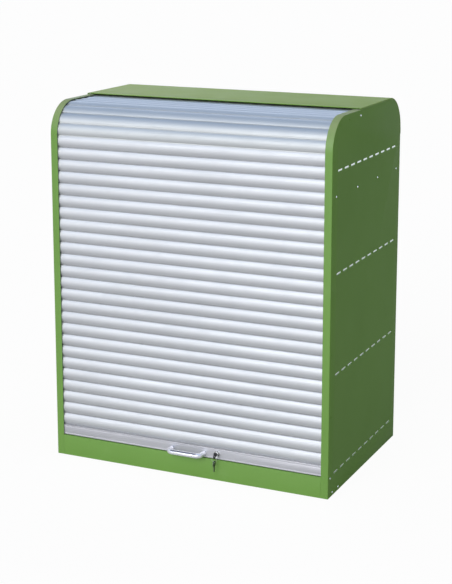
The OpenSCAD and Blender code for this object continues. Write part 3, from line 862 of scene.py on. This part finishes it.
# Drawn flat in the Y-Z plane, bow at the origin, blade along +Y and ring hole behind the bow
def flatKey(length):
    half = keyShape["thick"] / 2
    tall = keyShape["bladeHeight"] / 2
    key = addRound((0, 0, 0), keyShape["bow"], keyShape["thick"], "X", keyShape["bowSides"])
    choose(key, "FACE", lambda c, n: abs(n.x) > along)
    bpy.ops.mesh.inset(thickness=keyShape["field"], use_individual=True)
    for sign in (-1, 1):
        choose(key, "FACE", lambda c, n: n.x * sign > along and near(c.y, 0) and near(c.z, 0))
        pull(-sign * keyShape["fieldSink"], 0, 0)
    blade = addBlock((-half, keyShape["bladeStart"], -tall), (half, length, tall))
    choose(blade, "EDGE", lambda a, b: lies(y=length)(a, b) and near(a.z, b.z))
    roundEdges(keyShape["tip"], segments=2)
    for share, depth in zip(keyShape["cuts"], keyShape["cutDepths"]):
        cut(blade, keyNotch(keyShape["bow"] + share * (length - keyShape["bow"]), tall, depth))
    cut(key, blade, "UNION")
    cut(key, addRound((0, -keyShape["holeShift"], 0), keyShape["hole"], keyShape["holeLength"], "X",
                      keyShape["holeSides"]))
    return key


def placeKeys():
    low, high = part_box("key")
    bowY = low.y + keyShape["bow"]
    turnKey = moveTo(flatKey(high.y - bowY), Matrix.Translation((lock["x"], bowY, lock["z"])))
    dress(turnKey, "turnKey", "key", "key_black", keyBlack, "key")
    low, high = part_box("spare_key")
    bowZ = high.z - keyShape["bow"]
    hook = Matrix.Translation((lock["x"], (low.y + high.y) / 2, bowZ))
    spareKey = moveTo(flatKey(bowZ - low.z), hook @ Matrix.Rotation(-quarterTurn, 4, "X"))
    dress(spareKey, "spareKey", "spare_key", "key_black", keyPaintedReflection, "spare_key")


placeKeys()


# Split ring: two turns of thin wire side by side, with closed ends
ring = {"wire": 0.34 * mm, "turns": 2, "steps": 56, "sides": 10}


def keyRing():
    low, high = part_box("key_ring")
    centre = (low + high) / 2
    radius = (high.x - low.x) / 2 - 2 * ring["wire"]
    rise = (high.y - low.y - 2 * ring["wire"]) / ring["turns"]
    freshStart()
    bpy.ops.mesh.primitive_circle_add(vertices=ring["sides"], radius=ring["wire"],
                                      location=(radius, low.y - centre.y + ring["wire"], 0))
    wire = applyPlace(bpy.context.object)
    modify(wire, "SCREW", axis="Y", angle=2 * math.pi, iterations=ring["turns"], screw_offset=rise,
           steps=ring["steps"], render_steps=ring["steps"], use_merge_vertices=False)
    chooseAll(wire)
    bpy.ops.mesh.fill_holes(sides=0)
    weld(wire, (0, 0, 0))
    moveTo(wire, Matrix.Translation(centre))
    dress(wire, "keyRing", "key", "key_steel", keySteel, "key_ring", angle=60)


keyRing()
print("handle, lock and keys made")


# Rivets: domed heads with a sunk pin, painted along the front edge and bright elsewhere
rivet = {"radius": 3 * mm, "height": 1.2 * mm, "dome": 1.02 * mm, "pin": 0.9 * mm, "pinSink": 0.35 * mm,
         "capAlong": 0.99, "sides": 20, "foot": 0.3 * mm, "edgeInset": 16.8 * mm, "columnLow": 59 * mm,
         "columnHigh": 1003 * mm, "columnCount": 6, "bendAngle": 63, "coverY": -72 * mm, "topY": -166 * mm,
         "rowEnd": 266 * mm, "rowCount": 4, "rowHeight": 899 * mm, "sumpPlaces": (-264 * mm, -216 * mm),
         "sumpHeight": 10 * mm}


# One rivet with its head towards +X, seated on X = 0
def rivetHead():
    head = addRound((rivet["height"] / 2 - rivet["foot"] / 2, 0, 0), rivet["radius"],
                    rivet["height"] + rivet["foot"], "X", rivet["sides"])
    choose(head, "EDGE", lies(x=rivet["height"]))
    roundEdges(rivet["dome"], segments=4)
    choose(head, "FACE", lambda c, n: n.x > rivet["capAlong"])
    bpy.ops.mesh.inset(thickness=rivet["radius"] - rivet["dome"] - rivet["pin"])
    pull(-rivet["pinSink"], 0, 0)
    return head


def spaced(first, last, count):
    return [first + (last - first) * i / (count - 1) for i in range(count)]


def setRivets(name, places, slot, finish):
    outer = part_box("right_side_panel")[1].x
    master = rivetHead()
    heads = []
    for y, z in places:
        heads.append(copyTo(master, Matrix.Translation((outer, y, z))))
        heads.append(copyTo(master, Matrix.Rotation(math.pi, 4, "Z") @ Matrix.Translation((outer, -y, z))))
    bpy.data.objects.remove(master)
    dress(join(heads), name, "cabinet", slot, finish, "side_rivets", angle=45)


def sideRivets():
    low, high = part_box("right_side_panel")
    inset = rivet["edgeInset"]
    reach = side["cornerRadius"] - inset
    lean = math.radians(rivet["bendAngle"])
    columnZ = spaced(rivet["columnLow"], rivet["columnHigh"], rivet["columnCount"])
    foot, *painted = [(low.y + inset, z) for z in columnZ]
    painted.append((low.y + side["cornerRadius"] - reach * math.cos(lean),
                    high.z - side["cornerRadius"] + reach * math.sin(lean)))
    painted.append((rivet["topY"], high.z - inset))
    bright = [(y, rivet["rowHeight"]) for y in spaced(-rivet["rowEnd"], rivet["rowEnd"], rivet["rowCount"])]
    bright += [(y, rivet["sumpHeight"]) for y in rivet["sumpPlaces"]]
    bright += [(rivet["coverY"], high.z - inset), foot]
    setRivets("edgeRivets", painted, "side_paint", paintSide)
    setRivets("rowRivets", bright, "fastener", rivetBright)


sideRivets()


# Back screws: pan heads with a cross recess
screw = {"radius": 4.5 * mm, "sides": 28, "foot": 0.2 * mm, "dome": 0.9 * mm, "cross": 3.0 * mm,
         "crossWidth": 0.9 * mm, "crossDepth": 0.8 * mm, "cutReach": 2 * mm, "x": 448.5 * mm, "low": 100 * mm,
         "high": 965 * mm, "rows": 4}


def backScrews():
    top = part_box("back_screws")[1].y
    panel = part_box("back_panel")[1].y
    foot = panel - screw["foot"]
    master = addRound((0, (foot + top) / 2, 0), screw["radius"], top - foot, "Y", screw["sides"])
    choose(master, "EDGE", lies(y=top))
    roundEdges(screw["dome"], segments=4)
    for wide, tall in ((screw["cross"], screw["crossWidth"]), (screw["crossWidth"], screw["cross"])):
        cut(master, addBlock((-wide / 2, top - screw["crossDepth"], -tall / 2),
                             (wide / 2, top + screw["cutReach"], tall / 2)))
    heads = []
    for z in spaced(screw["low"], screw["high"], screw["rows"]):
        for x in (-screw["x"], screw["x"]):
            heads.append(copyTo(master, Matrix.Translation((x, 0, z))))
    bpy.data.objects.remove(master)
    dress(join(heads), "backScrews", "cabinet", "fastener", fastenerZinc, "back_screws")


backScrews()
print("rivets and screws set")


# Spill trays: a folded pan that hangs by its side flanges, with a hem along its front and rear edges
tray = {"wallX": 445.5 * mm, "sheet": 1.5 * mm, "fold": 1.8 * mm, "hem": 5 * mm, "hemDrop": 7 * mm}


def spillTray(node, name):
    low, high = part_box(node)
    wall = tray["wallX"]
    top = high.z - tray["sheet"]
    inside = (0, (low.y + high.y) / 2, top)
    pan = addBlock((-wall, low.y, low.z), (wall, high.y, top))
    choose(pan, "FACE", lambda c, n: n.z > along)
    removeFaces()
    for sign in (-1, 1):
        choose(pan, "EDGE", lies(x=sign * wall, z=top))
        pull(sign * (high.x - wall), 0, 0)
    for y, inwards in ((low.y, 1), (high.y, -1)):
        choose(pan, "EDGE", lambda a, b: lies(y=y, z=top)(a, b) and near(a.x, -b.x) and near(abs(a.x), wall))
        pull(0, inwards * tray["hem"], 0)
        pull(0, 0, -tray["hemDrop"])
    weld(pan, inside)
    roundFolds(pan, tray["fold"])
    weld(pan, inside)
    thicken(pan, tray["sheet"])
    dress(pan, name, "cabinet", "galvanised", sheetZinc, node)


spillTray("lower_tray", "lowerTray")
spillTray("upper_tray", "upperTray")


# Base grid: a sheet with rows of round-ended slots
grid = {"across": 10, "along": 6, "bar": 14 * mm, "slotWidth": 12 * mm, "slotSegments": 4, "edge": 0.35 * mm}


def baseGrid():
    low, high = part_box("base_grid")
    bar = grid["bar"]
    stepX = 2 * (tray["wallX"] - bar) / grid["across"]
    stepY = (high.y - low.y - bar) / grid["along"]
    start = Vector((bar - tray["wallX"] + stepX / 2, low.y + (bar + stepY) / 2, (low.z + high.z) / 2))
    reach = Vector(((stepX - bar) / 2, grid["slotWidth"] / 2, high.z - low.z))
    plate = addBlock(low, high)
    slots = slotBar(start, reach, 2, grid["slotWidth"], grid["slotSegments"])
    cut(plate, repeat(slots, (grid["across"], (stepX, 0, 0)), (grid["along"], (0, stepY, 0))))
    softEdges(plate, grid["edge"], segments=1, angle=sharpFrom)
    dress(plate, "baseGrid", "cabinet", "galvanised", sheetZinc, "base_grid")


baseGrid()
print("trays and base grid made")


# Inner solids that keep their shape take a finish each
inner = {"track_aluminium": trackMetal, "galvanised": sheetZinc, "sump_paint": paintSump,
         "fastener": fastenerZinc}
slotOf = {part["node"]: part["material_slot"] for part in frame["record"]["subparts"]}
for name, node in nodes.items():
    if not node.hide_render:
        node.data.materials.clear()
        # The tray rails take the paler copy of the galvanised finish, a painted highlight
        node.data.materials.append(railZincLightened if name.endswith("tray_rails") else inner[slotOf[name]])
        print("kept as solid:", name)


# Camera at the photograph's viewing angle, with its focal length and centre in pixels of the frame
view = {"place": (1.8985, -4.1223, 1.6770), "focal": 1472.33, "pitch": 0.2003, "yaw": 0.4332, "centreY": 216,
        "frameHeight": 584, "sensor": 36, "farEnd": 200}
bpy.ops.object.camera_add(location=view["place"], rotation=(quarterTurn - view["pitch"], 0, view["yaw"]))
camera = bpy.context.object
camera.data.sensor_width = view["sensor"]
camera.data.lens = view["focal"] / view["frameHeight"] * view["sensor"]
camera.data.shift_y = (view["centreY"] - view["frameHeight"] / 2) / view["frameHeight"]
camera.data.clip_end = view["farEnd"]
bpy.context.scene.camera = camera

# One broad lamp and the world's dome and fill
light = {"keyTurn": (66, 0, -4), "keyPower": 2.25, "keySpread": 46, "front": (1.0, 1.0, 1.0),
         "rear": (1.25, 1.45, 1.85), "rearFrom": 0.0, "rearTo": 0.7, "rearLift": 0.45,
         "zenith": (0.22, 0.41, 0.77), "domeLow": 0.10, "domeHigh": 0.58, "fill": (0.265, 0.265, 0.275),
         "rearFill": (1.40, 1.40, 1.42), "rearFillFrom": 0.65, "rearFillTo": 1.0}
bpy.ops.object.light_add(type="SUN", rotation=[math.radians(a) for a in light["keyTurn"]])
lamp = bpy.context.object
lamp.data.energy = light["keyPower"]
lamp.data.angle = math.radians(light["keySpread"])

# The floor shows white to the camera, and in metal it brightens from the object's foot to the horizon
ground = {"size": 120, "drop": 0.5 * mm, "white": (1, 1, 1), "grey": (0.55, 0.55, 0.55), "speckle": 0.97,
          "speckleScale": 6, "roughness": 0.9, "cameraGlow": 0.95, "near": 0.0, "far": 6.0, "nearGlow": 0.10,
          "farGlow": 0.8, "mirrorTint": (0.92, 0.96, 1.09)}


def whiteFloor():
    finish = Finish("floorWhite")
    camera, glossy, clear = finish.rays()
    distance = finish.node("ShaderNodeVectorMath", {"operation": "LENGTH"}, {0: finish.place()}, out="Value")
    mirrored = finish.range(distance, ground["near"], ground["far"], ground["nearGlow"], ground["farGlow"])
    pale = finish.blend(camera, ground["grey"], ground["white"])
    speckled = finish.blend(camera, tint(ground["grey"], ground["speckle"]), ground["white"])
    finish.end(Base_Color=finish.blend(finish.noise(ground["speckleScale"]), pale, speckled),
               Roughness=ground["roughness"])
    glow = finish.node("ShaderNodeEmission", None, {
        "Color": finish.blend(camera, ground["mirrorTint"], ground["white"])})
    surface = finish.node("ShaderNodeMixShader", None, {
        0: ground["cameraGlow"] * camera + mirrored * (glossy + clear),
        1: Wire(finish.tree, finish.shader.outputs[0]), 2: glow})
    feed(finish.tree, finish.tree.nodes["Material Output"].inputs["Surface"], surface)
    freshStart()
    bpy.ops.mesh.primitive_plane_add(size=ground["size"], location=(0, 0, -ground["drop"]))
    floor = bpy.context.object
    floor.name = "floor"
    floor.data.materials.append(finish.material)


# White to the camera, a dome from white to blue in metal, and a grey fill that is brighter from behind
def studioSky():
    world = bpy.data.worlds.new("studio")
    bpy.context.scene.world = world
    world.use_nodes = True
    sky = Nodes(world.node_tree)
    camera, glossy, clear = sky.rays()
    direction = sky.node("ShaderNodeTexCoord", out="Generated")
    depth = sky.axis("Y", direction)
    behind = sky.range(depth, light["rearFrom"], light["rearTo"])
    lifted = sky.axis("Z", direction) - light["rearLift"] * behind
    climb = sky.range(lifted, light["domeLow"], light["domeHigh"])
    dome = sky.blend(climb, sky.blend(behind, light["front"], light["rear"]), light["zenith"])
    cone = sky.range(depth, light["rearFillFrom"], light["rearFillTo"])
    fill = sky.blend(cone, light["fill"], light["rearFill"])
    lit = sky.blend(glossy + clear, fill, dome)
    feed(sky.tree, sky.tree.nodes["Background"].inputs["Color"], sky.blend(camera, lit, ground["white"]))


whiteFloor()
studioSky()
bpy.context.scene.view_settings.view_transform = "Standard"
print("camera, floor and light set")
